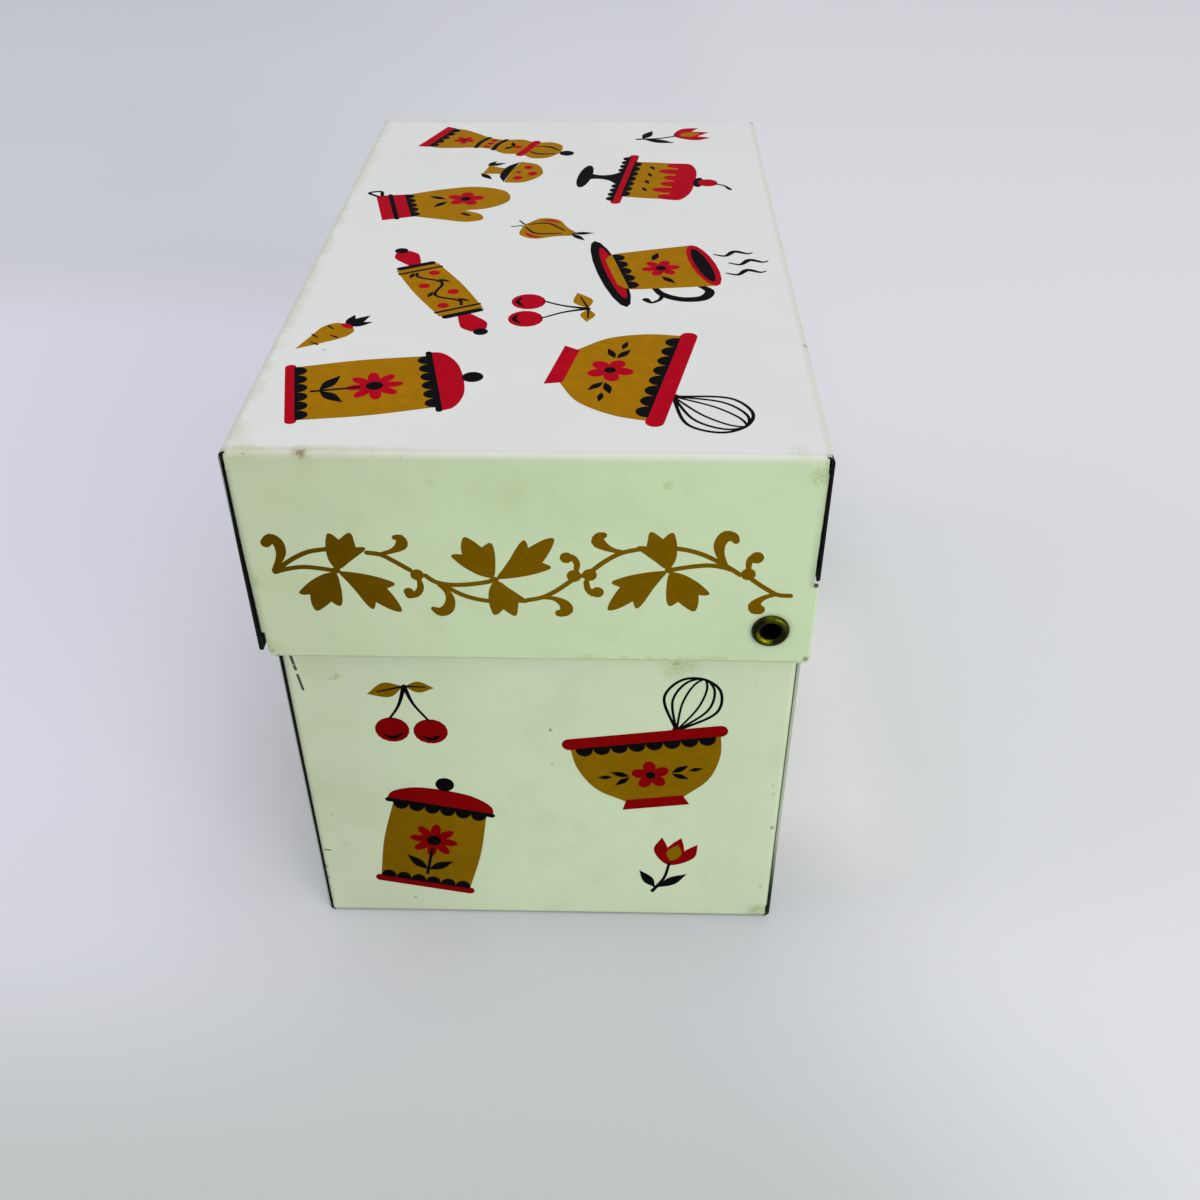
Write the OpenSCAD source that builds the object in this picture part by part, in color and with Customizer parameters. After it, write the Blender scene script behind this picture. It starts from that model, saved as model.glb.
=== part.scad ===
// Recipe card box folded from tinplate, with a lid that swings on two hollow brass eyelets.
// The body and the lid are each one cross-shaped blank: a flat panel with four walls bent up from it,
// open seams at the corners, ears lapped behind the front and rear walls, and hemmed free edges.
// Frame: X across the front, Y from front to back, Z up, origin under the middle of the closed box.

/* [Body] */
// Outside width of the body, across its front
body_w = 134; // [100:1:200]
// Outside depth of the body, from front to back
body_d = 75; // [50:0.5:160]
// Height of the body's rim above the table
body_h = 76.5; // [60:0.5:140]
// How far the rim's hem is folded down inside
body_hem = 3.5; // [2:0.1:6]
// Width of the ears welded behind the body's front and back walls
body_ear = 7; // [3:0.5:14]

/* [Lid] */
// Room above the rim for the tabs of divider cards
headroom = 14.6; // [8:0.2:30]
// How far the lid's side walls reach below the hinge pins
side_below_pin = 5.9; // [5:0.1:8]
// How much shorter the front wall is than the side walls
front_short = 0.6; // [0.2:0.1:3]
// Height of the rear wall's lower edge above the hinge pins
rear_above_pin = 8; // [6:0.1:11]
// How far the lid's hems are folded in
lid_hem = 3; // [2:0.1:3.1]
// Width of the ears welded behind the lid's front and rear walls
lid_ear = 6; // [3:0.5:12]
// Radius of the side walls' lower corners
lid_corner_r = 1.2; // [0.8:0.1:2.5]

/* [Tinplate] */
// Thickness of the sheet
sheet_t = 0.4; // [0.3:0.05:0.6]
// Inside radius of the bends
bend_in = 0.6; // [0.4:0.05:1]
// How far the raw ends of the front and rear walls stay behind the side faces
edge_inset = 0.3; // [0.05:0.05:0.5]
// Width of the openings and slits that relieve the corners
relief = 0.4; // [0.3:0.05:0.6]
// Radius of the free corners of the front and rear walls
free_corner_r = 0.6; // [0.4:0.05:1]

/* [Clearances] */
// Free space between the lid's side hems and the body's sides
side_clear = 0.3; // [0.2:0.05:0.6]
// Free space between the lid's rear wall and the body's back
rear_gap = 0.2; // [0.15:0.05:0.6]
// Free space as the lid's front swings past the body's front rim
swing_clear = 0.13; // [0.1:0.01:0.5]
// Radial play of the eyelet's barrel in the lid
pin_play = 0.08; // [0.02:0.01:0.1]
// Play of the lid between the washer and the eyelet's head
end_play = 0.05; // [0.03:0.01:0.1]

/* [Hinge] */
// Depth of the hinge pins below the body's rim
pin_below_rim = 12.8; // [11:0.1:15]
// Distance of the hinge pins from the body's back face
pin_from_back = 5; // [4.5:0.1:6]
// Outside diameter of the eyelet's barrel
barrel_d = 3.4; // [3:0.1:3.8]
// Wall thickness of the eyelet
eyelet_t = 0.3; // [0.2:0.05:0.4]
// Diameter of the eyelet's rolled head
head_d = 5.3; // [4.8:0.1:6.5]
// Diameter of the clinched roll inside the body
clinch_d = 5.1; // [4.8:0.1:6]
// Diameter of the spacing washer between body and lid
washer_d = 5.2; // [4.6:0.1:5.4]

/* [Hidden] */
$fn = 64;

// Outside radius of every bend
bend_out = bend_in + sheet_t;
// An edge folded back on itself is two sheets thick
hem_t = 2 * sheet_t;
// How far the opening that relieves each corner reaches from the panel's face
relief_end = bend_out + 4 * relief;
// Overshoot of cutting shapes
cut = 1;

// The gap in front lets the lid's front wall swing past the body's rim; it is rounded up to a hundredth
pin_to_front = body_d - pin_from_back;
swing_reach = norm([pin_to_front, pin_below_rim]) + swing_clear;
front_gap = ceil(100 * (swing_reach - pin_to_front)) / 100;

// Heights above the table
pin_z = body_h - pin_below_rim;
box_h = body_h + headroom + sheet_t;

// The lid stands outside the body, past its hems and ears
side_gap = sheet_t + side_clear;
lid_w = body_w + 2 * (side_gap + sheet_t);
lid_d = body_d + front_gap + rear_gap + 2 * hem_t;
body_back = lid_d / 2 - hem_t - rear_gap;
body_mid = body_back - body_d / 2;
pin_y = body_back - pin_from_back;

// Reach of the lid's walls below its top
side_drop = box_h - pin_z + side_below_pin;
front_drop = side_drop - front_short;
rear_drop = box_h - pin_z - rear_above_pin;

// Faces that the eyelets and washers seat on, as distances from the middle
body_face = body_w / 2;
body_lining = body_face - sheet_t;
lid_face = lid_w / 2;

// The lid stops where the hem of its rear wall meets the body's back
stop_arm = norm([pin_from_back + rear_gap + sheet_t, rear_above_pin + sheet_t]);
stop_lead = atan2(rear_above_pin + sheet_t, pin_from_back + rear_gap + sheet_t);
stop_angle = stop_lead + acos((pin_from_back + sheet_t) / stop_arm);
echo(lid_opens_to_degrees = stop_angle);
echo(closed_box_mm = [lid_w, lid_d, box_h], pin_mm = [pin_y, pin_z], front_gap_mm = front_gap);

// Section of a bend, from the panel's face at y = 0 round to the wall's face at x = 0
module bend_section() {
    intersection() {
        translate([bend_out, bend_out])
            difference() {
                circle(bend_out);
                circle(bend_in);
            }
        square(bend_out);
    }
}

// Section of a free edge folded back on itself: the fold lies at y = 0 and the return points up
module hem_section(hem) {
    translate([0, sheet_t])
        square([hem_t, hem - sheet_t]);
    intersection() {
        translate([sheet_t, sheet_t])
            circle(sheet_t);
        square([hem_t, sheet_t]);
    }
}

// Section of a bent wall that reaches a given distance from the panel's face
module wall_section(reach, hem = 0) {
    bend_section();
    translate([0, bend_out])
        square([sheet_t, reach - bend_out - hem]);
    if (hem > 0)
        translate([0, reach])
            mirror([0, 1])
                hem_section(hem);
}

// Lays a section out along X: its x points inward along +Y, and its y points up
module along_x(run) {
    rotate([90, 0, 90])
        linear_extrude(run, center = true)
            children();
}

// Cuts the square corner at the origin to a round one; the wall lies at +X, below Z = 0
module corner_cutter(radius) {
    rotate([90, 0, 0])
        linear_extrude(4 * bend_out, center = true)
            difference() {
                translate([-cut, -radius])
                    square([radius + cut, radius + cut]);
                translate([radius, -radius])
                    circle(radius);
            }
}

// A wall along X with its outer face at Y = 0, hemmed from hem_from to hem_to and plain beyond
module hemmed_wall(from, to, hem_from, hem_to, reach, hem) {
    translate([(hem_from + hem_to) / 2, 0, 0])
        along_x(hem_to - hem_from)
            wall_section(reach, hem);
    translate([(from + hem_from) / 2, 0, 0])
        along_x(hem_from - from)
            wall_section(reach);
    translate([(hem_to + to) / 2, 0, 0])
        along_x(to - hem_to)
            wall_section(reach);
}

// Front or rear wall: it spans the width, and its raw ends show at the corners
module end_wall(width, reach, hem) {
    half = width / 2 - edge_inset;
    hem_half = half - 2 * bend_out;
    difference() {
        hemmed_wall(-half, half, -hem_half, hem_half, reach, hem);
        for (end = [0, 1])
            mirror([end, 0, 0])
                translate([-half, 0, reach])
                    corner_cutter(free_corner_r);
    }
}

// The tabs that close the panel's corners at both ends of a side wall, up to the openings beside them
module corner_tabs(side) {
    run = bend_out - relief;
    for (end = [0, 1])
        mirror([end, 0, 0])
            translate([side + run / 2, 0, 0])
                along_x(run)
                    wall_section(relief_end);
}

// One ear: an upright bend at the end of a side wall, and the strip welded behind the end wall
module ear(from_z, to_z, width) {
    translate([0, 0, from_z])
        linear_extrude(to_z - from_z)
            rotate(90)
                wall_section(width);
}

// Both front ears of a blank
module front_ears(width, depth, to_z, ear_width) {
    for (side = [0, 1])
        mirror([side, 0, 0])
            translate([width / 2, -depth / 2 + sheet_t, 0])
                ear(relief_end, to_z, ear_width);
}

// Both rear ears of a blank
module rear_ears(width, depth, to_z, ear_width) {
    mirror([0, 1, 0])
        front_ears(width, depth, to_z, ear_width);
}

// The flat panel of a blank, with its outer face at Z = 0
module panel(width, depth) {
    flat_w = width - 2 * bend_out;
    flat_d = depth - 2 * bend_out;
    translate([-flat_w / 2, -flat_d / 2, 0])
        cube([flat_w, flat_d, sheet_t]);
}

// Half the length of a side wall's flat stretch, between its two ears
function side_half(depth) = depth / 2 - sheet_t - bend_out;

// The hole for an eyelet's barrel through the side walls at +X
module pin_hole(radius, z) {
    translate([body_face - 2 * bend_out, pin_y, z])
        rotate([0, 90, 0])
            cylinder(h = 4 * bend_out + side_gap, r = radius);
}

// One side wall of the body, laid along X from the front at -X to the rear at +X
module body_side_wall() {
    side = side_half(body_d);
    corner_tabs(side);
    difference() {
        hemmed_wall(-side, side, -side + hem_t, side - hem_t, body_h, body_hem);
        for (end = [0, 1])
            mirror([end, 0, 0])
                translate([-side, 0, body_h])
                    corner_cutter(hem_t);
    }
}

module body_tray() {
    ear_top = body_h - body_hem - 2 * relief;
    color("honeydew")
        difference() {
            translate([0, body_mid, 0]) {
                panel(body_w, body_d);
                for (turn = [0, 180])
                    rotate(turn) {
                        translate([0, -body_d / 2, 0])
                            end_wall(body_w, body_h, body_hem);
                        translate([body_w / 2, 0, 0])
                            rotate(90)
                                body_side_wall();
                    }
                front_ears(body_w, body_d, ear_top, body_ear);
                rear_ears(body_w, body_d, ear_top, body_ear);
            }
            for (left = [0, 1])
                mirror([left, 0, 0])
                    pin_hole(barrel_d / 2, pin_z);
        }
}

// One side wall of the lid, laid along X from the front at -X to the rear at +X.
// Behind the pin it runs on under the rear wall's edge and ends in an upright hem.
module lid_side_wall(rear_ear_end) {
    side = side_half(lid_d);
    rear = lid_d / 2;
    tail_from = rear_drop + relief;
    tail_to = side_drop - lid_corner_r;
    corner_tabs(side);
    difference() {
        union() {
            hemmed_wall(
                -side, side, -side + lid_corner_r, rear - lid_hem - lid_corner_r,
                side_drop, lid_hem
            );
            translate([side, 0, rear_ear_end])
                cube([rear - hem_t - side, sheet_t, tail_from - rear_ear_end]);
            translate([rear, 0, tail_from])
                linear_extrude(tail_to - tail_from)
                    rotate(90)
                        hem_section(lid_hem);
            translate([side, 0, tail_to])
                cube([rear - side, sheet_t, lid_corner_r]);
        }
        translate([-side, 0, side_drop])
            corner_cutter(lid_corner_r);
        translate([rear, 0, side_drop])
            mirror([1, 0, 0])
                corner_cutter(lid_corner_r);
    }
}

module lid() {
    front_ear_end = front_drop - lid_hem - 2 * relief;
    rear_ear_end = rear_drop - lid_hem - 2 * relief;
    color("mintcream")
        translate([0, 0, box_h])
            mirror([0, 0, 1])
                difference() {
                    union() {
                        panel(lid_w, lid_d);
                        translate([0, -lid_d / 2, 0])
                            end_wall(lid_w, front_drop, lid_hem);
                        translate([0, lid_d / 2, 0])
                            rotate(180)
                                end_wall(lid_w, rear_drop, lid_hem);
                        for (left = [0, 1])
                            mirror([left, 0, 0])
                                translate([lid_w / 2, 0, 0])
                                    rotate(90)
                                        lid_side_wall(rear_ear_end);
                        front_ears(lid_w, lid_d, front_ear_end, lid_ear);
                        rear_ears(lid_w, lid_d, rear_ear_end, lid_ear);
                    }
                    for (left = [0, 1])
                        mirror([left, 0, 0])
                            pin_hole(barrel_d / 2 + pin_play, box_h - pin_z);
                }
}

// Section of a rolled end, from the bore out to a given radius and above y = 0
module roll_section(bore_r, out_r) {
    roll_r = (out_r - bore_r) / 2;
    intersection() {
        translate([bore_r + roll_r, 0])
            difference() {
                circle(roll_r);
                circle(roll_r - eyelet_t);
            }
        translate([bore_r, 0])
            square([2 * roll_r, roll_r]);
    }
}

// One hollow eyelet along Z, with the face of the body's lining at Z = 0 and its head at the top
module eyelet() {
    bore_r = barrel_d / 2 - eyelet_t;
    head_z = lid_face + end_play - body_lining;
    rotate_extrude()
        union() {
            translate([bore_r, 0])
                square([eyelet_t, head_z]);
            translate([0, head_z])
                roll_section(bore_r, head_d / 2);
            mirror([0, 1])
                roll_section(bore_r, clinch_d / 2);
        }
}

// A ring between the body and the lid, lying on Z = 0
module washer() {
    rotate_extrude()
        translate([barrel_d / 2, 0])
            square([washer_d / 2 - barrel_d / 2, side_gap - end_play]);
}

// Sets a piece of the hinge on its pin at +X, with its Z axis pointing outward from a given X
module at_pin(x) {
    translate([x, pin_y, pin_z])
        rotate([0, 90, 0])
            children();
}

module right_hinge_eyelet() {
    color("darkgoldenrod")
        at_pin(body_lining)
            eyelet();
}

module left_hinge_eyelet() {
    mirror([1, 0, 0])
        right_hinge_eyelet();
}

module right_hinge_washer() {
    color("gray")
        at_pin(body_face)
            washer();
}

module left_hinge_washer() {
    mirror([1, 0, 0])
        right_hinge_washer();
}

body_tray();
lid();
left_hinge_eyelet();
right_hinge_eyelet();
left_hinge_washer();
right_hinge_washer();
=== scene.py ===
import math

import bpy
from mathutils import Matrix, Vector
from mathutils.geometry import delaunay_2d_cdt


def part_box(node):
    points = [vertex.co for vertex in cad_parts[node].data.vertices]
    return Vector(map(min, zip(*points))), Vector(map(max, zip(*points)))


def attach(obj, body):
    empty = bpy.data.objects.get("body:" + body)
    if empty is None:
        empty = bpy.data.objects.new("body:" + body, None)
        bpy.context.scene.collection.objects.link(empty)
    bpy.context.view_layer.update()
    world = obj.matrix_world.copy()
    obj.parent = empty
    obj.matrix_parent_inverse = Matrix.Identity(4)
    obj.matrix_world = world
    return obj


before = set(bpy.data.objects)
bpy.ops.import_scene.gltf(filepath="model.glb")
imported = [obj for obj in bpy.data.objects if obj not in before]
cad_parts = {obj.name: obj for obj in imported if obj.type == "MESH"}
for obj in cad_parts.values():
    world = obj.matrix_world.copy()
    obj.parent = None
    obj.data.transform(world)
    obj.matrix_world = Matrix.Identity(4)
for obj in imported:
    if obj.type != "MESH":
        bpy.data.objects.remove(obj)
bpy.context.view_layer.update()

# Sizes in millimetres; what goes into Blender is multiplied by MM, which turns it into metres
MM = 0.001
SHEET = 0.4
BEND = 1.0
EDGE_INSET = 0.3
BODY_HEM = 3.5
LID_HEM = 3.0
FLOOR_REACH = 4000


def box_mm(node):
    """Lowest and highest corner of a CAD node, in millimetres."""
    low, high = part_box(node)
    return low / MM, high / MM


BODY_LOW, BODY_HIGH = box_mm("body_tray")
LID_LOW, LID_HIGH = box_mm("lid")
PIN = sum(box_mm("right_hinge_eyelet"), Vector()) / 2

# Colours, as linear light
MINT = (0.525, 0.64, 0.398)
BODY_MINT = (0.540, 0.640, 0.424)
# Colour of the painted shade on the right end face
END_SHADE_TONE = (0.39, 0.33, 0.25)
TOP_WHITE = (0.60, 0.61, 0.585)
GRIME = (0.09, 0.10, 0.05)
YELLOWED = (0.29, 0.33, 0.07)
# Colour of the painted shade on the lid's bends
FOLD_BEND_SHADE_TONE = (0.315, 0.30, 0.24)
RUST = (0.17, 0.075, 0.03)
RUST_STAIN = (0.16, 0.10, 0.03)
FOLD_GRIME = (0.42, 0.41, 0.25)
# Near-black: cut edges, chips and scratches, and painted shade in the corner grooves and gaps
NEAR_BLACK = (0.006, 0.006, 0.0055)
RAW_EDGE_RUST = (0.020, 0.016, 0.012)
PALE_EDGE_STRIP = (0.30, 0.31, 0.28)
BODY_REAR_EDGE = (0.40, 0.44, 0.34)
BODY_REAR_EDGE_FOOT = (0.012, 0.022, 0.012)
INKS = {
    "mustard": (0.190, 0.100, 0.001),
    "red": (0.19, 0.001, 0.002),
    "black": (0.003, 0.003, 0.003),
}
VINE_INK = (0.150, 0.078, 0.0005)
# Painted light: the side inks made lighter for the lid's top, which is better lit
LIT_TOP_INKS = {
    "mustard": (0.27, 0.125, 0.002),
    "red": (0.32, 0.002, 0.010),
    "black": (0.004, 0.004, 0.005),
}

# Camera, fitted to the photograph's corners and edges
CAMERA_AT = Vector((203.50, 12.32, 173.30))
CAMERA_YAW = 1.236
CAMERA_PITCH = 37.689
CAMERA_ROLL = -0.092
FOCAL_PX = 1253.16
PHOTO_PX = 1200
SENSOR = 36.0

# Lights: each lamp's name, place, target and size in metres, power in watts, and colour
WORLD_COLOUR = (0.80, 0.81, 0.86, 1)
WORLD_STRENGTH = 0.74
LAMPS = (
    ("overhead", (0.1, 0.1, 2.0), (0, 0, 0.05), 1.8, 17.4, (1.0, 1.0, 1.0)),
    ("camera_side", (0.95, 0.70, 0.45), (0.06, 0.02, 0.04), 0.7, 6.4, (1.0, 1.0, 0.98)),
    ("left_side", (0.1, -1.6, 0.9), (0, 0, 0.05), 1.0, 5.5, (1.0, 1.0, 1.0)),
    ("right_side", (0.0, 1.6, 0.7), (0, 0, 0.05), 1.0, 1.2, (1.0, 1.0, 1.0)),
)


def make_camera():
    yaw, pitch, roll = (math.radians(a) for a in (CAMERA_YAW, CAMERA_PITCH, CAMERA_ROLL))
    flat = math.cos(pitch)
    ahead = Vector((-flat * math.cos(yaw), -flat * math.sin(yaw), -math.sin(pitch)))
    level = ahead.cross(Vector((0, 0, 1))).normalized()
    raised = level.cross(ahead)
    right = math.cos(roll) * level + math.sin(roll) * raised
    up = math.cos(roll) * raised - math.sin(roll) * level
    data = bpy.data.cameras.new("camera")
    data.sensor_width = SENSOR
    data.lens = FOCAL_PX / PHOTO_PX * SENSOR
    data.clip_start = 0.01
    data.clip_end = 20
    camera = bpy.data.objects.new("camera", data)
    turn = Matrix((right, up, -ahead)).transposed().to_4x4()
    camera.matrix_world = Matrix.Translation(CAMERA_AT * MM) @ turn
    bpy.context.scene.collection.objects.link(camera)
    bpy.context.scene.camera = camera


def aim_light(name, at, target, size, power, colour):
    """A soft square lamp."""
    data = bpy.data.lights.new(name, "AREA")
    data.shape = "SQUARE"
    data.size = size
    data.energy = power
    data.color = colour
    lamp = bpy.data.objects.new(name, data)
    lamp.location = at
    lamp.rotation_euler = (Vector(target) - Vector(at)).to_track_quat("-Z", "Y").to_euler()
    bpy.context.scene.collection.objects.link(lamp)


def make_lights():
    world = bpy.data.worlds.new("studio")
    world.use_nodes = True
    background = world.node_tree.nodes["Background"]
    background.inputs["Color"].default_value = WORLD_COLOUR
    background.inputs["Strength"].default_value = WORLD_STRENGTH
    bpy.context.scene.world = world
    for lamp in LAMPS:
        aim_light(*lamp)
    bpy.context.scene.view_settings.view_transform = "Standard"


class Graph:
    """Builds a material's nodes. Inputs are numbers, tuples or the sockets of other nodes."""

    def __init__(self, name):
        self.material = bpy.data.materials.new(name)
        self.material.use_nodes = True
        self.tree = self.material.node_tree
        self.tree.nodes.clear()
        self.place = self.node("ShaderNodeTexCoord").outputs["Object"]
        self.parts = self.node("ShaderNodeSeparateXYZ", Vector=self.place).outputs

    def node(self, kind, settings=None, **inputs):
        made = self.tree.nodes.new(kind)
        for key, value in (settings or {}).items():
            setattr(made, key, value)
        for key, value in inputs.items():
            self.plug(made.inputs[key.replace("_", " ")], value)
        return made

    def plug(self, socket, value):
        if isinstance(value, bpy.types.NodeSocket):
            self.tree.links.new(value, socket)
        elif isinstance(value, tuple) and len(socket.default_value) == 4:
            socket.default_value = (*value, 1)[:4]
        else:
            socket.default_value = value

    def math(self, operation, a, b=0.0):
        made = self.node("ShaderNodeMath", {"operation": operation})
        self.plug(made.inputs[0], a)
        self.plug(made.inputs[1], b)
        return made.outputs[0]

    def vector(self, operation, a, b=None, scale=None):
        made = self.node("ShaderNodeVectorMath", {"operation": operation})
        self.plug(made.inputs[0], a)
        if b is not None:
            self.plug(made.inputs[1], b)
        if scale is not None:
            self.plug(made.inputs["Scale"], scale)
        return made

    def add(self, a, b):
        return self.math("ADD", a, b)

    def times(self, *factors):
        product = factors[0]
        for factor in factors[1:]:
            product = self.math("MULTIPLY", product, factor)
        return product

    def step(self, value, start, end, low=0.0, high=1.0):
        """Goes smoothly from low to high as value goes from start to end, in its own units."""
        made = self.node("ShaderNodeMapRange", {"interpolation_type": "SMOOTHSTEP"})
        for socket, given in zip(made.inputs, (value, start, end, low, high)):
            self.plug(socket, given)
        return made.outputs[0]

    def noise(self, scale, detail=3.0, roughness=0.5, shift=0.0, stretch=(1, 1, 1)):
        """Noise with features of about 1/scale millimetres."""
        per_metre = Vector(stretch) * scale / MM
        mapping = self.node("ShaderNodeMapping", Vector=self.place, Scale=per_metre,
                            Location=(shift,) * 3)
        made = self.node("ShaderNodeTexNoise", Vector=mapping.outputs[0], Scale=1.0,
                         Detail=detail, Roughness=roughness)
        return made.outputs["Factor" if "Factor" in made.outputs else "Fac"]

    def mix(self, factor, a, b):
        made = self.node("ShaderNodeMix", {"data_type": "RGBA"})
        colours = [s for s in made.inputs if s.type == "RGBA"]
        self.plug(made.inputs[0], factor)
        self.plug(colours[0], a)
        self.plug(colours[1], b)
        return next(s for s in made.outputs if s.type == "RGBA")

    def spot(self, centre, radius, ragged=0.5):
        """A stain of that radius round a point, in millimetres, with a ragged rim."""
        gap = self.vector("DISTANCE", self.place, Vector(centre) * MM).outputs["Value"]
        frayed = self.times(self.add(self.noise(1.2 / radius, 4), -0.5), 2 * ragged)
        return self.step(self.add(self.math("DIVIDE", gap, radius * MM), frayed), 1.1, 0.3)

    def span(self, value, start, end, soft):
        """1 between start and end, and 0 beyond them; all in the value's own units."""
        return self.times(self.step(value, start - soft, start), self.step(value, end + soft, end))

    def away(self, axis, from_mm):
        """Distance along one axis from a place, in millimetres."""
        return self.times(self.add(self.parts[axis], -from_mm * MM), 1 / MM)

    def smudge(self, centre, radius):
        """A stain that is patchy inside."""
        patches = self.step(self.noise(2.6, 5, 0.6, radius), 0.30, 0.66)
        return self.times(self.spot(centre, radius, 0.7), patches)

    def scratch(self, start, end, width):
        """A straight scratch from start to end, in millimetres, broken here and there."""
        start, run = Vector(start) * MM, (Vector(end) - Vector(start)) * MM
        offset = self.vector("SUBTRACT", self.place, start).outputs[0]
        along = self.times(self.vector("DOT_PRODUCT", offset, run).outputs["Value"],
                           1 / run.length_squared)
        along = self.math("MAXIMUM", self.math("MINIMUM", along, 1.0), 0.0)
        foot = self.vector("SCALE", run, scale=along).outputs[0]
        gap = self.vector("DISTANCE", offset, foot).outputs["Value"]
        line = self.step(gap, 0.6 * width * MM, 0.4 * width * MM)
        return self.times(line, self.step(self.noise(0.9, 2, 0.5, 3.0), 0.30, 0.38))

    def bump(self, height, depth, below=None):
        """Raises the surface by height, from 0 to 1, times depth in millimetres."""
        made = self.node("ShaderNodeBump", Strength=1.0, Distance=depth * MM, Height=height)
        if below is not None:
            self.plug(made.inputs["Normal"], below)
        return made.outputs[0]

    def finish(self, **inputs):
        shader = self.node("ShaderNodeBsdfPrincipled")
        for key, value in inputs.items():
            self.plug(shader.inputs[key.replace("_", " ")], value)
        output = self.node("ShaderNodeOutputMaterial")
        self.tree.links.new(shader.outputs[0], output.inputs["Surface"])
        return self.material


def satin_surface(g):
    """The enamel's own texture: a fine orange peel over the slow waves of the sheet."""
    waves = g.bump(g.noise(0.045, 2), 0.25)
    return g.bump(g.noise(2.2, 3), 0.004, waves)


def mottled(g, colour, amount):
    """A printed colour that is not quite even."""
    light = tuple(min(1, c * (1 + amount)) for c in colour)
    dark = tuple(c * (1 - amount) for c in colour)
    return g.mix(g.step(g.noise(0.05, 4, 0.6), 0.3, 0.7), dark, light)


def specks(g, amount, shift=0.0):
    """Tiny dots scattered over the paint; amount goes from 0, hardly any, to 1."""
    return g.step(g.noise(1.1, 2, 0.5, shift), 0.80 - 0.1 * amount, 0.84 - 0.1 * amount)


def seam_shade(g, low, high, width):
    """Painted shade in the groove beside the raw ends of the front and rear walls; width in
    millimetres.
    """
    middle, half = (low + high) / 2, (high - low) / 2
    from_middle = g.math("ABSOLUTE", g.away("Y", middle.y))
    beside = g.add(g.times(from_middle, -1), half.y - SHEET)
    ragged = g.add(g.add(width, 0.12), g.times(g.add(g.noise(0.7, 3), -0.5), 0.25))
    groove = g.times(g.step(g.math("SUBTRACT", beside, ragged), 0.06, -0.06),
                     g.step(beside, -0.3, -0.2))
    on_side = g.step(g.math("ABSOLUTE", g.away("X", middle.x)), half.x - 1.3 * BEND, half.x - BEND)
    # A fainter painted shade reaches a little beyond the groove
    soft_shade = g.times(g.step(g.math("SUBTRACT", beside, ragged), 1.2, 0.0),
                    g.step(beside, -0.3, -0.2), 0.28)
    return g.times(g.math("MAXIMUM", groove, soft_shade), on_side)


def front_end_shade(g):
    """Painted shade: the right end face grows darker toward the front."""
    return g.times(g.step(g.away("Y", 0), 0, -34), g.step(g.away("X", 0), 66.2, 66.9))


def stained(g, colour, marks):
    """Adds marks to a colour; each is a mask, a strength and the stain's colour."""
    for mask, strength, stain in marks:
        colour = g.mix(g.times(mask, strength), colour, stain)
    return colour


def body_paint():
    """The body's mint enamel. Marks on its right end are listed as y, z, radius and strength."""
    g = Graph("body_enamel")
    z = g.away("Z", 0)
    colour = mottled(g, BODY_MINT, 0.03)
    bottom_worn = g.times(g.step(z, 1.2, 0.2), g.step(g.noise(0.9, 4), 0.56, 0.66))
    face = BODY_HIGH.x
    stains = [
        (-29.1, 53.2, 0.75, 0.95), (-29.9, 52.8, 0.50, 0.70), (-31.2, 54.5, 3.2, 0.14),
        (-32.1, 17.1, 1.0, 0.50), (20.6, 56.0, 3.4, 0.42), (20.4, 56.5, 0.7, 0.75),
        (-28.5, 44.0, 2.5, 0.10), (36.0, 1.3, 2.4, 0.85),
    ]
    marks = [(g.smudge((face, across, up), radius), strength, YELLOWED)
             for across, up, radius, strength in stains]
    dots = [
        (1.9, 43.1, 0.40, 0.65), (2.0, 35.8, 0.30, 0.45), (36.8, 22.3, 0.5, 0.60),
        (-21.9, 3.9, 0.35, 0.55), (36.2, 32.0, 0.4, 0.25), (36.3, 30.0, 0.4, 0.25),
        (-33.5, 24.0, 0.5, 0.20), (36.0, 8.0, 0.4, 0.30),
    ]
    marks += [(g.spot((face, across, up), radius), strength, GRIME)
              for across, up, radius, strength in dots]
    chips = [(-36.35, 11.2, 0.60), (-36.30, 8.4, 0.55)]
    marks += [(g.spot((face, across, up), radius), 0.85, NEAR_BLACK) for across, up, radius in chips]
    at_front = g.step(g.away("Y", 0), 1, -1)
    seam = seam_shade(g, BODY_LOW, BODY_HIGH, g.step(z, 4, 60, -0.22, -0.12))
    marks += [
        # Painted shade on the right end face, darker toward the front
        (front_end_shade(g), 0.25, END_SHADE_TONE),
        (g.scratch((face, -35.1, 57.2), (face, -34.73, 54.5), 0.46), 0.92, NEAR_BLACK),
        (g.scratch((face, -34.60, 53.4), (face, -34.2, 50.6), 0.40), 0.92, NEAR_BLACK),
        (g.scratch((face, -35.9, 15.5), (face, -34.9, 15.4), 0.34), 0.90, GRIME),
        (bottom_worn, 0.30, YELLOWED),
        (specks(g, 0.45), 0.30, GRIME),
        (g.step(g.noise(0.10, 4, 0.6, 2.0), 0.50, 0.75), 0.12, YELLOWED),
        # Painted shade: near-black in the grooves beside the raw ends, strong in front and faint at
        # the back
        (seam, g.add(g.times(at_front, 0.78), 0.18), NEAR_BLACK),
    ]
    colour = stained(g, colour, marks)
    rough = g.step(g.noise(0.08, 4), 0.3, 0.7, 0.30, 0.42)
    return g.finish(Base_Color=colour, Roughness=rough, Specular_IOR_Level=0.35,
                    Normal=satin_surface(g))


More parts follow.
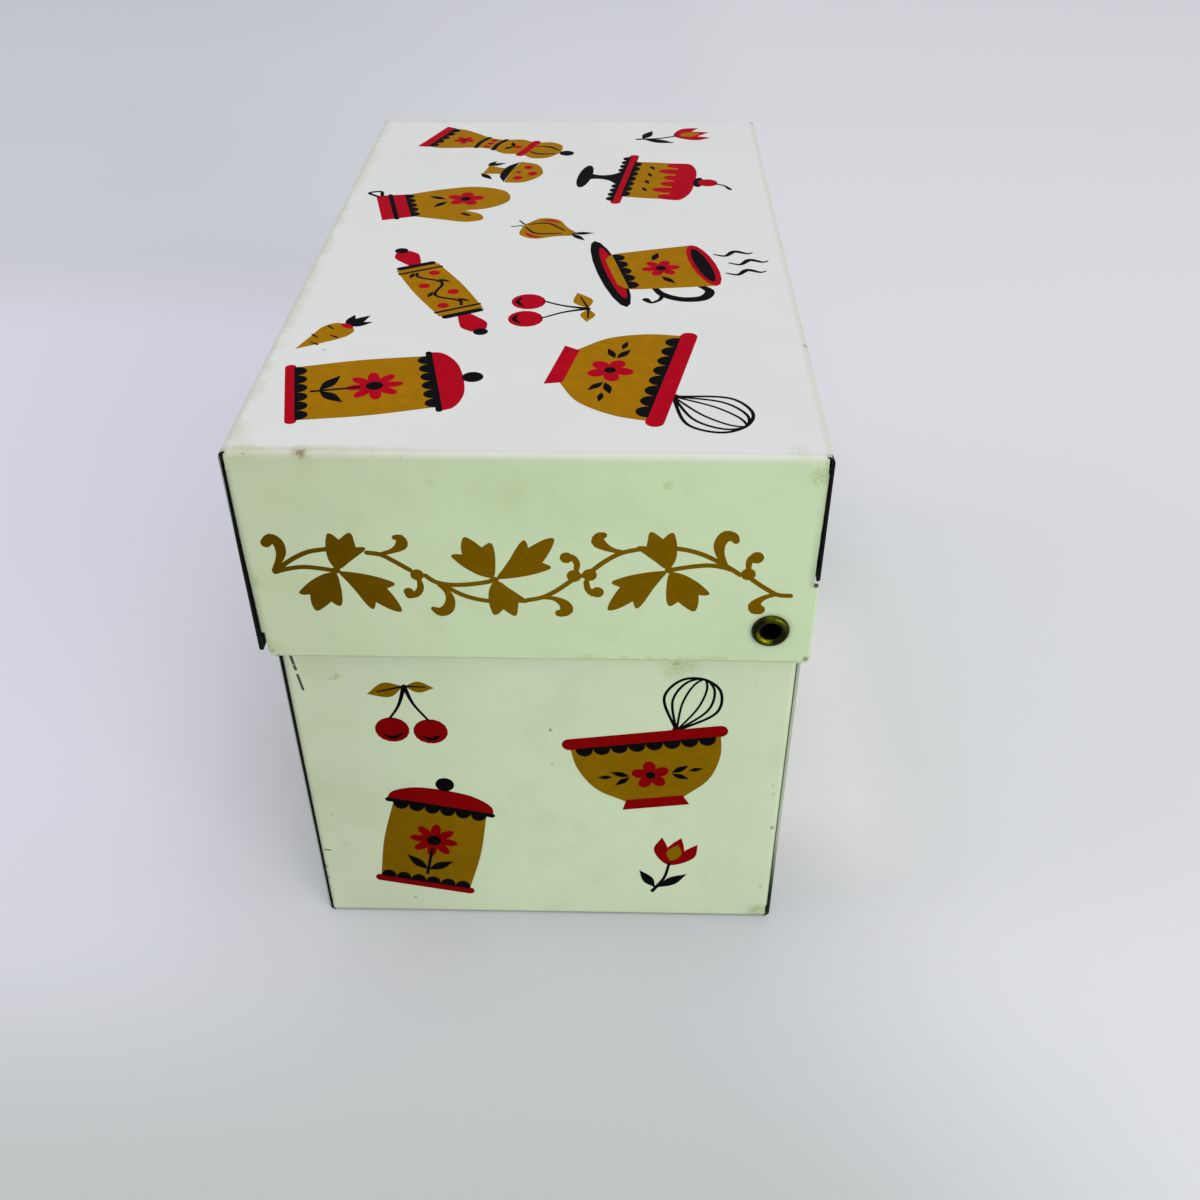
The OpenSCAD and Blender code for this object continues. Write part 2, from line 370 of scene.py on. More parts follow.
def lid_paint():
    """The lid's enamel, near-white on top. Marks are listed as centre, radius and strength."""
    g = Graph("lid_enamel")
    z = g.away("Z", 0)
    face, back, top = LID_HIGH.x, LID_HIGH.y, LID_HIGH.z
    outward = g.math("MAXIMUM",
                     g.add(g.math("ABSOLUTE", g.away("X", 0)), BEND - face),
                     g.add(g.math("ABSOLUTE", g.away("Y", 0)), BEND - back))
    round_bend = g.add(outward, g.math("SUBTRACT", top, z))
    walls = g.step(round_bend, -0.5, 2.6)
    colour = g.mix(walls, mottled(g, TOP_WHITE, 0.012), mottled(g, MINT, 0.03))
    # Painted shade on the bends round the top, which damps their highlight
    fold_bend_shade = g.times(g.step(outward, -0.4, 0.2), g.step(z, top - 1.2, top - 0.6))
    near_fold = g.times(g.step(outward, -1.8, -0.2), g.step(z, top - 1.2, top - 0.2))
    fold_grime = g.times(near_fold, g.step(g.away("Y", 0), -8, -26),
                         g.step(g.noise(0.3, 4), 0.35, 0.6))
    fold_worn = g.times(g.step(outward, 0.0, 0.4), g.step(z, top - 1.2, top - 0.6),
                        g.step(g.noise(0.8, 5, 0.6, 7.0), 0.66, 0.72))
    stains = [
        ((face, -12.3, 87.2), 0.8, 0.20), ((face, 18.2, 87.2), 0.8, 0.52),
        ((face, 37.2, 88.6), 1.6, 0.62), ((face, -37.9, 71.0), 1.6, 0.45),
        ((face, -36.9, 59.4), 1.8, 0.40), ((face, -28.0, 89.3), 3.0, 0.16),
        ((face, -3.0, 84.0), 4.5, 0.08), ((face, -18.0, 86.0), 3.0, 0.10),
        ((66.6, 34.6, top), 1.9, 0.22), ((66.8, -36.3, top), 3.0, 0.30),
        ((67.6, -28.4, top), 1.8, 0.60), ((63.0, -37.0, top), 2.5, 0.16),
    ]
    marks = [(g.smudge(centre, radius), strength, YELLOWED) for centre, radius, strength in stains]
    dots = [
        ((39.5, -30.9, top), 0.40, 0.45), ((50.3, -back, top), 0.40, 0.70),
        ((36.7, back - 0.3, top), 0.7, 0.70), ((-0.7, back - 0.3, top), 0.5, 0.70),
        ((30.0, back - 0.3, top), 0.4, 0.60), ((face, 38.4, 58.6), 0.5, 0.80),
        ((face, -37.1, 58.9), 0.40, 0.45), ((face, -36.4, 58.0), 0.45, 0.45),
    ]
    marks += [(g.spot(centre, radius), strength, GRIME) for centre, radius, strength in dots]
    hem_grime = g.times(g.step(z, 59.4, 58.2), g.span(g.away("Y", 0), 8, 25, 4),
                        g.step(g.noise(0.5, 4), 0.35, 0.70))
    # Darkens a thin line along the lid's lower edge
    hem_line = g.times(g.step(z, LID_LOW.z + 0.45, LID_LOW.z + 0.25),
                       g.step(g.noise(0.2, 4), 0.30, 0.55))
    # Darkens a ring just round the eyelet's head
    pin_halo = g.vector("DISTANCE", g.place, PIN * MM).outputs["Value"]
    front_width = g.step(z, top - 2, 60, -0.12, 0.46)
    rear_width = g.step(z, top - 2, 74, 0.0, 0.26)
    at_back = g.step(g.away("Y", 0), -1, 1)
    width = g.add(g.times(front_width, g.math("SUBTRACT", 1, at_back)),
                  g.times(rear_width, at_back))
    seam = g.times(seam_shade(g, LID_LOW, LID_HIGH, width),
                   g.math("MAXIMUM", g.step(g.away("Y", 0), 1, -1), g.step(z, 71.0, 71.4)))
    marks += [
        # Painted shade on the right end face, darker toward the front
        (front_end_shade(g), 0.25, END_SHADE_TONE),
        (fold_bend_shade, 0.18, FOLD_BEND_SHADE_TONE),
        (g.spot((67.7, -28.6, top), 0.9, 0.9), 0.85, RUST_STAIN),
        (fold_grime, 0.35, FOLD_GRIME),
        (fold_worn, 0.50, RUST),
        (hem_line, 0.28, GRIME),
        (hem_grime, 0.40, YELLOWED),
        (g.step(pin_halo, 3.6 * MM, 2.6 * MM), 0.25, GRIME),
        (specks(g, 0.35, 3.0), 0.30, GRIME),
        (g.step(g.noise(0.10, 4, 0.6, 5.0), 0.50, 0.75), g.times(walls, 0.12), YELLOWED),
        # Painted shade: near-black in the grooves beside the raw ends of the front and rear walls
        (seam, 0.97, NEAR_BLACK),
    ]
    colour = stained(g, colour, marks)
    rough = g.step(g.noise(0.08, 4), 0.3, 0.7, 0.26, 0.38)
    return g.finish(Base_Color=colour, Roughness=rough, Specular_IOR_Level=0.35,
                    Normal=satin_surface(g))


def dark_edge_and_shade_paint(name, front_y, lightened, rear, rear_foot):
    """The cut edge of the sheet: near-black in front, with colours of its own at the back, above
    and at its foot; it also gives the painted shade on the inner faces in the corner gaps. The
    front edge's outer corner is a paler grey strip, given as a low and a high place and its width
    at each."""
    g = Graph(name)
    z = g.away("Z", 0)
    front = g.mix(g.step(g.noise(1.5, 4), 0.62, 0.75), NEAR_BLACK, RAW_EDGE_RUST)
    low, high, low_width, high_width = lightened
    from_corner = g.add(g.away("Y", front_y), g.step(z, low, high, -low_width, -high_width))
    front = g.mix(g.step(from_corner, 0.03, -0.03), front, PALE_EDGE_STRIP)
    behind = g.mix(g.step(z, 24, 5), rear, rear_foot)
    colour = g.mix(g.step(g.away("Y", 0), -1, 1), front, behind)
    return g.finish(Base_Color=colour, Roughness=0.6, Specular_IOR_Level=0.05,
                    Normal=g.bump(g.noise(4, 2), 0.02))


def tinplate():
    """The bare inside of the sheet: rolled tin with a dull lacquer, and freckles of rust."""
    g = Graph("tinplate")
    rolled = g.noise(0.6, 4, 0.6, 0.0, (0.06, 1, 1))
    colour = g.mix(g.step(rolled, 0.3, 0.7), (0.56, 0.545, 0.49), (0.63, 0.615, 0.56))
    colour = g.mix(g.times(g.step(g.noise(0.05, 5, 0.6), 0.5, 0.75), 0.4), colour,
                   (0.44, 0.39, 0.28))
    freckles = g.step(g.noise(0.9, 4, 0.6, 5.0), 0.70, 0.76)
    colour = g.mix(g.times(freckles, 0.8), colour, RUST)
    rough = g.step(g.add(rolled, g.times(freckles, 0.6)), 0.3, 1.0, 0.38, 0.56)
    return g.finish(Base_Color=colour, Metallic=0.8, Roughness=rough, Normal=g.bump(rolled, 0.004))


def aged_brass():
    """Dark olive brass, with painted highlights in two crescents: in the funnel, and on the rim
    across from it.
    """
    g = Graph("aged_brass")
    across, up = g.away("Y", PIN.y), g.away("Z", PIN.z)
    radius = g.math("SQRT", g.add(g.times(across, across), g.times(up, up)))

    def crescent(toward_across, toward_up, inner, outer):
        facing = g.add(g.times(across, toward_across), g.times(up, toward_up))
        toward = g.step(g.math("DIVIDE", facing, radius), 0.45, 0.92)
        return g.times(toward, g.span(radius, inner, outer, 0.22))

    patina = g.noise(1.2, 4, 0.6)
    # Painted highlights: lighter brass where the light catches the funnel's lower left and the
    # rim's upper right
    lightened = g.add(crescent(-0.66, -0.75, 1.35, 1.95),
                   g.times(crescent(0.45, 0.90, 1.95, 2.55), 0.40))
    colour = g.mix(g.step(patina, 0.40, 0.65), (0.010, 0.012, 0.003), (0.021, 0.023, 0.006))
    colour = g.mix(g.times(lightened, g.step(patina, 0.15, 0.50)), colour, (0.145, 0.145, 0.002))
    return g.finish(Base_Color=colour, Metallic=1.0, Roughness=g.step(patina, 0.3, 0.7, 0.24, 0.36),
                    Normal=g.bump(g.noise(3.0, 3), 0.006))


def zinc_steel():
    g = Graph("zinc_steel")
    spangle = g.noise(1.2, 4)
    colour = g.mix(g.step(spangle, 0.4, 0.6), (0.34, 0.34, 0.33), (0.48, 0.48, 0.46))
    return g.finish(Base_Color=colour, Metallic=1.0,
                    Roughness=g.step(spangle, 0.3, 0.7, 0.35, 0.55))


def ink(name, colour, shaded=0.25):
    """A printing ink with next to no shine, darkened by the right end's painted shade by the amount
    given.
    """
    g = Graph(name)
    thin = tuple(c * 1.15 for c in colour)
    tone = g.mix(g.step(g.noise(0.5, 5, 0.6), 0.40, 0.75), colour, thin)
    # Painted shade from the right end face, on the ink
    tone = g.mix(g.times(front_end_shade(g), shaded), tone, (0, 0, 0))
    return g.finish(Base_Color=tone, Roughness=0.38, Specular_IOR_Level=0.003,
                    Normal=g.bump(g.noise(2.2, 3), 0.004))


def floor_cover():
    """A pale seamless cloth with painted light and shade: lighter behind and beside the box, darker
    in front.
    """
    g = Graph("floor_cover")
    colour = g.mix(g.step(g.noise(0.004, 2), 0.3, 0.7), (0.53, 0.535, 0.565), (0.555, 0.56, 0.585))
    x, y = g.away("X", 0), g.away("Y", 0)
    # Painted light: lighter far behind the box, on its left
    colour = g.mix(g.times(g.step(x, -100, -400), g.step(y, -200, 0)), colour, (0.59, 0.60, 0.62))
    # Painted light: lilac and lighter at the box's left, which also lifts its shadow there
    colour = g.mix(g.times(g.step(y, -20, -90), g.span(x, -150, 40, 70)), colour,
                   (0.61, 0.60, 0.675))
    # Painted light: lighter at the box's right
    colour = g.mix(g.step(y, 30, 80), colour, (0.625, 0.63, 0.65))
    # Painted light: a lighter patch on the box's right, where its shadow falls
    colour = g.mix(g.times(g.span(y, 44, 54, 18), g.span(x, -5, 38, 32)), colour,
                   (0.705, 0.70, 0.72))
    # Painted shade: darker in front of the box
    colour = g.mix(g.times(g.step(x, 70, 130), g.step(y, 120, 20)), colour, (0.43, 0.455, 0.445))
    return g.finish(Base_Color=colour, Roughness=0.7, Specular_IOR_Level=0.2)


PAINT, TIN, DARK_EDGE_AND_SHADE = range(3)


def paint_sheet(node, paint, tin, dark_edge_and_shade, hem):
    """Enamel outside and on hems, bare tin inside, near-black on raw ends, painted shade in corner
    gaps.
    """
    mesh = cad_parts[node].data
    low, high = box_mm(node)
    middle, half = (low + high) / 2, (high - low) / 2
    down = -1 if node == "lid" else 1
    mesh.materials.clear()
    for material in (paint, tin, dark_edge_and_shade):
        mesh.materials.append(material)

    def from_panel(point):
        return half.z + down * (point.z - middle.z)

    spots = [vertex.co / MM for vertex in mesh.vertices]
    reach = {}
    for side in (-1, 1):
        reach[side] = max(from_panel(p) for p in spots
                          if side * (p.y - middle.y) > half.y - SHEET / 2
                          and abs(p.x) < half.x - 2 * SHEET)
    for face in mesh.polygons:
        at, normal = face.center / MM - middle, face.normal
        deep = from_panel(face.center / MM)
        inward = (normal.x * at.x < 0 and abs(normal.x) > 0.5) \
            or (normal.y * at.y < 0 and abs(normal.y) > 0.5) \
            or (normal.z * down > 0.5 and deep < BEND)
        depth = min(half.x - abs(at.x), half.y - abs(at.y), deep)
        side = 1 if at.y > 0 else -1
        hemmed = depth > 1.8 * SHEET and (abs(normal.x) > 0.5 or deep > reach[side] - hem)
        raw_end = abs(normal.x) > 0.9 and abs(abs(at.x) - half.x + EDGE_INSET) < 0.02 \
            and abs(at.y) > half.y - 1.6 * BEND
        # Painted shade: the inner faces in the corner gaps take the near-black edge material
        in_corner = inward and abs(normal.y) > 0.5 and half.y - abs(at.y) < 1.4 * SHEET \
            and abs(at.x) > half.x - EDGE_INSET - 2 * BEND
        if raw_end or in_corner:
            face.material_index = DARK_EDGE_AND_SHADE
        elif inward and depth > 0.6 * SHEET and not hemmed:
            face.material_index = TIN
        else:
            face.material_index = PAINT


def dress_cad():
    tin, brass, steel = tinplate(), aged_brass(), zinc_steel()
    body_edge_and_shade = dark_edge_and_shade_paint("body_edge_and_shade", BODY_LOW.y, (5, 60, 0.22, 0.13), BODY_REAR_EDGE,
                         BODY_REAR_EDGE_FOOT)
    paint_sheet("body_tray", body_paint(), tin, body_edge_and_shade, BODY_HEM)
    lid_edge_and_shade = dark_edge_and_shade_paint("lid_edge_and_shade", LID_LOW.y, (66, 90, -0.06, 0.18), NEAR_BLACK, NEAR_BLACK)
    paint_sheet("lid", lid_paint(), tin, lid_edge_and_shade, LID_HEM)
    for side in ("left", "right"):
        for piece, material in (("eyelet", brass), ("washer", steel)):
            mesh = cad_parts[f"{side}_hinge_{piece}"].data
            mesh.materials.clear()
            mesh.materials.append(material)


# Inks are thin plates: each plate's foot is sunk in the sheet, and each ink lies a little higher
INK_ORDER = {"mustard": 0, "red": 1, "black": 2}
INK_STEP = 0.006
INK_ROOT = 0.02
CURVE_STEP = 0.5
ROUND = 16
LEAST_AREA = 1e-5


def smooth(knots):
    """A curve through the knots, each x and y, or x, y and width (centripetal Catmull-Rom)."""
    knots = [Vector((*knot, 0)[:3]) for knot in knots]
    if len(knots) == 2:
        return knots
    knots = [2 * knots[0] - knots[1]] + knots + [2 * knots[-1] - knots[-2]]
    curve = []
    for a, b, c, d in zip(knots, knots[1:], knots[2:], knots[3:]):
        p, q, r = (math.sqrt((w - v).xy.length) for v, w in ((a, b), (b, c), (c, d)))
        leave = q * ((b - a) / p - (c - a) / (p + q)) + (c - b)
        arrive = q * ((d - c) / r - (d - b) / (q + r)) + (c - b)
        count = max(2, math.ceil((c - b).xy.length / CURVE_STEP))
        for i in range(count):
            t = i / count
            bend = (t * t * (3 * (c - b) - 2 * leave - arrive)
                    + t ** 3 * (2 * (b - c) + leave + arrive))
            curve.append(b + t * leave + bend)
    return curve + [knots[-2]]


def outline(*runs):
    """A closed outline of smooth runs; a sharp corner stands at the start of each."""
    whole = []
    for run, following in zip(runs, runs[1:] + runs[:1]):
        whole += smooth(run + following[:1])[:-1]
    return whole


def turned(profile):
    """The outline of a turned shape, from the right half of its profile, lowest point first."""
    half = smooth(profile)
    return half + [Vector((-p.x, p.y, 0)) for p in reversed(half)]


def oval(x, y, rx, ry=None, turn=0):
    """An ellipse, or a circle if only one radius is given."""
    ry = rx if ry is None else ry
    angles = (math.tau * i / ROUND for i in range(ROUND))
    ring = [Vector((rx * math.cos(a), ry * math.sin(a), 0)) for a in angles]
    return moved([ring], x, y, turn)[0]


def leaf(x, y, length, turn, width=0.34):
    """A leaf that is pointed at both ends, from its stalk at x, y."""
    half = width * length / 2
    blade = outline([(0, 0), (0.45 * length, half)], [(length, 0), (0.45 * length, -half)])
    return moved([blade], x, y, turn)[0]


def moved(outlines, x=0.0, y=0.0, turn=0.0, size=1.0, flip=1):
    """Outlines mirrored, scaled, turned in degrees and shifted, in that order."""
    place = Matrix.Translation((x, y, 0)) @ Matrix.Rotation(math.radians(turn), 4, "Z")
    place = place @ Matrix.Diagonal((size * flip, size, 1, 1))
    return [[place @ p for p in line] for line in outlines]


def stroke(*knots, width=None):
    """A line with round ends, as triangles and discs. Each knot is x, y and width, or x and y
    where one width is given for all."""
    spine = smooth([(*knot[:2], width or knot[2]) for knot in knots])
    sides = []
    for before, here, after in zip(spine[:1] + spine, spine, spine[1:] + spine[-1:]):
        ahead = (after - before).xy.normalized()
        aside = Vector((-ahead.y, ahead.x, 0)) * here.z / 2
        sides.append((here + aside, here - aside))
    pieces = [oval(end.x, end.y, end.z / 2) for end in (spine[0], spine[-1])]
    for (left, right), (far_left, far_right) in zip(sides, sides[1:]):
        pieces += [[left, right, far_right], [left, far_right, far_left]]
    return pieces


def scallops(x0, y0, x1, y1, count, depth=1.0, band=0.3):
    """A narrow band from x0, y0 to x1, y1 with a row of half discs on its right-hand side."""
    length = math.hypot(x1 - x0, y1 - y0)
    radius = length / count / 2
    row = [Vector((length, band, 0)), Vector((0, band, 0)), Vector((0, 0, 0))]
    for i in range(count):
        bow = (math.pi * k / 8 for k in range(1 if i else 0, 9))
        row += [Vector(((2 * i + 1 - math.cos(a)) * radius, -depth * radius * math.sin(a), 0))
                for a in bow]
    return moved([row], x0, y0, math.degrees(math.atan2(y1 - y0, x1 - x0)))


def flower(x, y, reach, petals, turn=90):
    """Round petals about a middle, which stays open."""
    heads = []
    for i in range(petals):
        angle = turn + 360 * i / petals
        out = Vector((math.cos(math.radians(angle)), math.sin(math.radians(angle)))) * reach * 0.6
        heads.append(oval(x + out.x, y + out.y, reach * 0.42, reach * 1.7 / petals, angle))
    return heads


class Drawing:
    """Flat shapes in the three inks, in millimetres round the drawing's own middle."""

    def __init__(self):
        self.outlines = {}
        self.merged = None

    def add(self, ink, *outlines, over=0):
        """Adds outlines in an ink; each step of over lies above all inks of the step below."""
        self.outlines.setdefault((INK_ORDER[ink] + 3 * over, ink), []).extend(outlines)

    def plates(self):
        if self.merged is None:
            self.merged = {key: merge(outlines) for key, outlines in sorted(self.outlines.items())}
        return self.merged


def merge(outlines):
    """Joins outlines that may overlap into one flat plate: its points, triangles and rim."""
    spots, loops = [], []
    for line in outlines:
        area = sum(a.x * b.y - b.x * a.y for a, b in zip(line, line[1:] + line[:1])) / 2
        if abs(area) > LEAST_AREA:
            loops.append(range(len(spots), len(spots) + len(line)))
            spots += [p.xy for p in (line if area > 0 else reversed(line))]
    joined = delaunay_2d_cdt(spots, [], [list(loop) for loop in loops], 0, 1e-4, True)
    spots, owners = joined[0], joined[5]
    triangles = [triangle for triangle, owner in zip(joined[2], owners) if owner]
    used = sorted({i for triangle in triangles for i in triangle})
    number = {old: new for new, old in enumerate(used)}
    triangles = [tuple(number[i] for i in triangle) for triangle in triangles]
    edges = {edge for t in triangles for edge in zip(t, t[1:] + t[:1])}
    rim = sorted(edge for edge in edges if edge[::-1] not in edges)
    return [spots[i] for i in used], triangles, rim


def print_face(name, body, inks, middle, right, stamps):
    """Prints drawings on a flat face; a stamp is drawing, x, y, turn, size and flip."""
    up = Vector((0, 1, 0)) if abs(middle.z) > LID_HIGH.z - SHEET else Vector((0, 0, 1))
    out = right.cross(up)
    verts, faces, slots = [], [], []
    for drawing, x, y, turn, size, flip in stamps:
        for (level, ink), (spots, triangles, rim) in drawing.plates().items():
            [flat] = moved([[p.to_3d() for p in spots]], x, y, turn, size, flip)
            flat = [middle + right * p.x + up * p.y for p in flat]
            first, count = len(verts), len(flat)
            verts += [p + out * (level + 1) * INK_STEP for p in flat]
            verts += [p - out * (INK_ROOT + level * INK_STEP) for p in flat]
            plate = list(triangles)
            plate += [(a + count, c + count, b + count) for a, b, c in triangles]
            plate += [(a, a + count, b + count, b) for a, b in rim]
            faces += [tuple(first + i for i in face)[::flip] for face in plate]
            slots += [list(INK_ORDER).index(ink)] * len(plate)
    mesh = bpy.data.meshes.new(name)
    mesh.from_pydata([p * MM for p in verts], [], faces)
    for ink in INK_ORDER:
        mesh.materials.append(inks[ink])
    mesh.polygons.foreach_set("material_index", slots)
    mesh.update()
    print_object = bpy.data.objects.new(name, mesh)
    bpy.context.scene.collection.objects.link(print_object)
    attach(print_object, body)


def mixing_bowl():
    d = Drawing()
    for half_width, wire in ((1.3, 0.35), (2.9, 0.4), (4.3, 0.45)):
        loop = [(0, -5.6), (half_width, 0.4), (0.7 * half_width, 4.4), (0, 5.6)]
        loop += [(-x, y) for x, y in reversed(loop[:-1])]
        d.add("black", *moved(stroke(*loop, width=wire), 7.6, 9.6, -28))
    d.add("red", *moved(stroke((0, -9.5), (0, -5.4), width=1.5), 7.6, 9.6, -28))
    d.add("mustard", turned([(4.6, -9.8), (8.9, -6.4), (11.2, -1.5), (11.7, 3.4)]), over=1)
    d.add("red", *stroke((-11.7, 3.8), (11.7, 3.8), width=2.3), over=1)
    d.add("red", turned([(5.4, -11.6), (4.5, -9.4)]), over=1)
    d.add("black", *scallops(-10.9, 2.5, 10.9, 2.5, 8, 1.1), over=1)
    d.add("red", *flower(0, -4.3, 3.0, 5), over=1)
    d.add("black", oval(0, -4.3, 0.8), over=1)
    for side in (0, 180):
        tips = [leaf(3.3, 0.1, 3.2, 24), leaf(3.3, -0.1, 3.0, -30), leaf(6.0, 0.3, 2.4, 4)]
        d.add("black", *moved(tips, 0, -4.3, 0, 1, -1 if side else 1), over=1)
    return d


def pepper_mill():
    d = Drawing()
    d.add("mustard", turned([(5.2, -12.4), (5.5, -9.8), (4.5, -7.0), (2.9, -3.2), (2.8, -0.6),
                             (4.1, 2.4), (3.5, 4.8)]))
    d.add("red", turned([(6.0, -13.6), (5.6, -11.6)]))
    d.add("black", *scallops(5.4, -11.6, -5.4, -11.6, 5, 1.2))
    d.add("black", *stroke((-2.9, -3.6), (0, -4.0), (2.9, -3.6), width=0.8))
    d.add("black", *stroke((-2.9, -0.2), (0, -0.6), (2.9, -0.2), width=0.8))
    d.add("red", *(oval(x, -2.05, 0.62) for x in (-1.7, 0, 1.7)))
    d.add("red", *flower(0, -7.3, 1.9, 5))
    d.add("black", oval(0, -7.3, 0.45))
    d.add("black", leaf(2.0, 1.4, 2.6, 150), leaf(-2.0, 1.4, 2.6, 30))
    d.add("red", oval(0, 3.3, 0.8))
    d.add("red", *stroke((-3.7, 5.4), (3.7, 5.4), width=1.5))
    d.add("mustard", turned([(3.6, 6.1), (4.6, 8.0), (3.6, 10.4), (0.1, 11.7)]))
    for side in (-1, 1):
        d.add("black", *stroke((side * 1.5, 6.4, 0.3), (side * 2.1, 8.4, 0.6),
                               (side * 0.9, 11.0, 0.3)))
    d.add("black", oval(0, 12.8, 1.3))
    return d


def mug():
    d = Drawing()
    d.add("black", oval(0, -9.6, 12.4, 1.9))
    d.add("red", oval(0, -9.2, 9.6, 1.0), over=1)
    d.add("mustard", turned([(4.6, -9.4), (6.3, -8.2), (7.0, -4.0), (7.7, 4.6)]), over=2)
    d.add("red", oval(0, 4.8, 7.8, 1.9), over=2)
    d.add("black", oval(0, 4.7, 6.3, 1.1), over=2)
    d.add("black", *stroke((7.1, 2.3, 0.9), (9.4, 3.3, 1.4), (11.5, 1.8, 1.6), (11.4, -1.2, 1.5),
                           (9.3, -3.6, 1.3), (6.9, -4.3, 0.9)))
    d.add("black", *stroke((9.3, -3.7, 0.7), (10.9, -4.5, 0.6), (11.6, -5.9, 0.6),
                           (10.5, -6.4, 1.1)))
    d.add("black", *scallops(6.4, -7.7, -6.4, -7.7, 5, 1.1), over=2)
    d.add("red", *flower(0, -1.8, 2.9, 6), over=2)
    d.add("black", oval(0, -1.8, 0.85), over=2)
    d.add("black", leaf(3.0, -2.4, 3.2, 28), leaf(-3.0, -2.4, 3.2, 152), over=2)
    for x, y in ((-3.6, 0), (0, 1.4), (3.6, 0)):
        wisp = stroke((0, 7.4, 0.3), (0.9, 8.9, 0.6), (-0.5, 10.8, 0.9), (0.7, 12.6, 0.5),
                      (0.4, 13.4, 0.25))
        d.add("black", *moved(wisp, x, y))
    return d


def canister():
    d = Drawing()
    d.add("mustard", turned([(7.6, -11.8), (8.1, -2.5), (7.6, 6.8)]))
    d.add("red", *stroke((-7.7, -12.2), (7.7, -12.2), width=1.6))
    d.add("red", turned([(8.7, 7.2), (8.2, 9.0), (5.0, 10.8), (0.1, 11.4)]))
    d.add("black", *stroke((-8.5, 7.2), (8.5, 7.2), width=0.9))
    d.add("black", oval(0, 12.6, 1.5))
    d.add("black", *scallops(-7.6, 6.9, 7.6, 6.9, 6, 1.15))
    d.add("black", *scallops(7.6, -11.4, -7.6, -11.4, 6, 1.15))
    d.add("black", *stroke((0, -9.4), (0, -3.0), width=0.5))
    d.add("red", *flower(0, -0.9, 3.9, 8))
    d.add("black", oval(0, -0.9, 1.2))
    d.add("black", leaf(0, -8.4, 5.0, 38), leaf(0, -8.4, 5.0, 142))
    return d


def rolling_pin():
    d = Drawing()
    d.add("mustard", turned([(3.5, -9.4), (3.9, 0), (3.5, 9.4)]))
    for end in (1, -1):
        d.add("red", turned([(0.9, end * 10.2), (1.5, end * 12.0), (2.0, end * 14.4),
                             (1.2, end * 16.2)]))
        d.add("black", *stroke((-2.7, end * 9.9), (2.7, end * 9.9), width=1.2))
        d.add("black", oval(0, end * 16.8, 1.1))
        d.add("black", *stroke((-3.5, end * 7.9), (3.5, end * 7.9), width=0.55))
    wave = ((1.3 * math.sin(y * math.tau / 8), y) for y in range(-7, 8))
    d.add("black", *stroke(*wave, width=0.5))
    for y, side in ((-6, 1), (-2, -1), (2, 1), (6, -1)):
        d.add("red", oval(-1.6 * side, y, 0.9))
        d.add("black", leaf(1.2 * side, y - 1.4, 2.3, 90 - 40 * side))
    return d


def cake_stand():
    d = Drawing()
    d.add("black", oval(0, -12.4, 5.6, 1.2))
    d.add("black", turned([(1.8, -12.2), (0.9, -10.0), (1.5, -8.0), (3.6, -6.2)]))
    d.add("red", *stroke((-11.4, -5.4), (11.4, -5.4), width=1.7))
    d.add("black", *scallops(-11.0, -6.2, 11.0, -6.2, 11, 1.0))
    d.add("mustard", turned([(8.7, -4.6), (8.9, 0), (8.6, 4.4)]))
    d.add("red", turned([(9.0, 3.0), (8.9, 4.8), (6.0, 6.2), (0.1, 6.7)]))
    for x, drip in zip((-7.7, -4.6, -1.5, 1.5, 4.6, 7.7), (2.0, 3.1, 1.8) * 2):
        d.add("red", oval(x, 2.9, 1.25, drip))
    d.add("black", *scallops(8.6, -4.6, -8.6, -4.6, 7, 0.9))
    d.add("black", *(leaf(x, -1.9, 2.2, 25) for x in (-7.0, -3.4, 0.2, 3.8)))
    d.add("black", oval(0, 7.2, 2.3, 0.9))
    d.add("red", oval(0, 8.8, 1.7), over=1)
    d.add("black", *stroke((0.3, 10.0, 0.4), (0.9, 11.6, 0.4), (2.5, 12.8, 0.7)), over=1)
    return d


def oven_mitt():
    d = Drawing()
    hand = outline([(-5.0, -7.4), (-6.3, -1.0), (-6.2, 5.0), (-3.0, 9.4), (1.6, 9.2), (4.2, 5.4)],
                   [(4.4, 1.4), (6.6, 3.6), (9.0, 3.6), (9.5, 1.0), (7.6, -2.8)], [(5.0, -7.4)])
    d.add("mustard", hand)
    d.add("red", outline([(-5.7, -12.4)], [(5.7, -12.4)], [(5.2, -7.2)], [(-5.2, -7.2)]))
    d.add("black", *scallops(5.2, -7.3, -5.2, -7.3, 5, 1.2))
    d.add("black", *stroke((-5.5, -10.0), (5.5, -10.0), width=0.8))
    d.add("black", *stroke((-5.4, -12.2), (-7.4, -13.4), (-7.6, -11.4), (-5.5, -11.4), width=0.6))
    d.add("red", *flower(-0.9, 2.2, 3.1, 5))
    d.add("black", oval(-0.9, 2.2, 0.9))
    d.add("black", leaf(-1.4, -1.0, 3.4, -130), leaf(-0.4, -1.0, 3.4, -50), leaf(5.2, 0.4, 2.6, 40))
    return d


def cherries():
    d = Drawing()
    for x, y in ((-3.2, -3.2), (3.1, -4.4)):
        d.add("red", oval(x, y, 2.9, 2.8))
        d.add("black", *stroke((x - 1.6, y - 1.0, 0.3), (x - 0.2, y - 1.8, 0.8),
                               (x + 1.5, y - 1.1, 0.3)))
        d.add("black", *stroke((x + 0.2, y + 2.5, 0.4), (0.4 * x + 0.4, 2.0, 0.5), (1.0, 6.0, 0.8)))
    d.add("mustard", leaf(0.9, 6.0, 6.4, 188, 0.5), leaf(1.1, 6.0, 4.8, -12, 0.5))
    d.add("black", *stroke((0.9, 6.0, 0.4), (-3.6, 5.4, 0.25)),
          *stroke((1.1, 6.0, 0.4), (4.4, 5.4, 0.25)))
    return d


